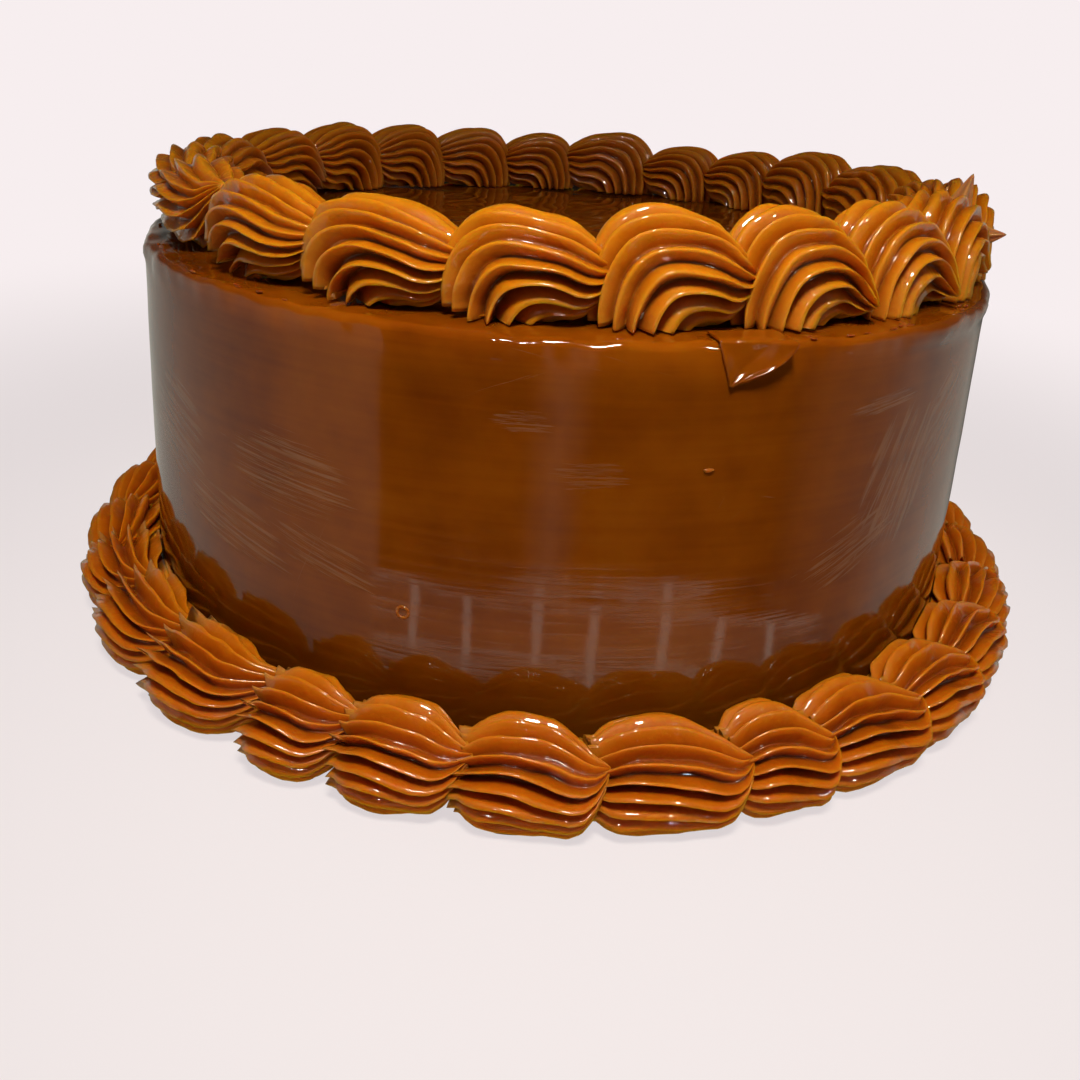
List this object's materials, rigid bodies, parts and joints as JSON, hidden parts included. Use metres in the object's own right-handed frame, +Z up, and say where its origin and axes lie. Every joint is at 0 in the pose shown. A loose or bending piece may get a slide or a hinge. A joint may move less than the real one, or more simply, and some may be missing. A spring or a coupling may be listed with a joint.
{
  "type": "dulce de leche cake",
  "caption": "Round cake with straight glossy caramel-paste icing and a border of piped shells round its top edge and its foot.",
  "frame": {"origin": "centre of the cake's flat underside", "axes": "+Z up, -Y towards the front that shows the torn flap of paste a little right of the middle"},
  "size_m": [0.2702, 0.2705, 0.124],
  "materials": {
    "icing": "wet gloss, smooth dulce de leche icing",
    "top_paste": "soft gloss, piped dulce de leche",
    "base_paste": "soft gloss, piped dulce de leche"
  },
  "bodies": {
    "root": {"cake": "icing", "top_shell_01": "top_paste", "top_shell_02": "top_paste", "top_shell_03": "top_paste", "top_shell_04": "top_paste", "top_shell_05": "top_paste", "top_shell_06": "top_paste", "top_shell_07": "top_paste", "top_shell_08": "top_paste", "top_shell_09": "top_paste", "top_shell_10": "top_paste", "top_shell_11": "top_paste", "top_shell_12": "top_paste", "top_shell_13": "top_paste", "top_shell_14": "top_paste", "top_shell_15": "top_paste", "top_shell_16": "top_paste", "top_shell_17": "top_paste", "top_shell_18": "top_paste", "top_shell_19": "top_paste", "top_shell_20": "top_paste", "top_shell_21": "top_paste", "top_shell_22": "top_paste", "base_shell_01": "base_paste", "base_shell_02": "base_paste", "base_shell_03": "base_paste", "base_shell_04": "base_paste", "base_shell_05": "base_paste", "base_shell_06": "base_paste", "base_shell_07": "base_paste", "base_shell_08": "base_paste", "base_shell_09": "base_paste", "base_shell_10": "base_paste", "base_shell_11": "base_paste", "base_shell_12": "base_paste", "base_shell_13": "base_paste", "base_shell_14": "base_paste", "base_shell_15": "base_paste", "base_shell_16": "base_paste", "base_shell_17": "base_paste", "base_shell_18": "base_paste", "base_shell_19": "base_paste", "base_shell_20": "base_paste", "base_shell_21": "base_paste", "base_shell_22": "base_paste", "base_shell_23": "base_paste", "base_shell_24": "base_paste", "base_shell_25": "base_paste", "base_shell_26": "base_paste", "base_shell_27": "base_paste", "base_shell_28": "base_paste", "base_shell_29": "base_paste", "base_shell_30": "base_paste"}
  },
  "joints": []
}
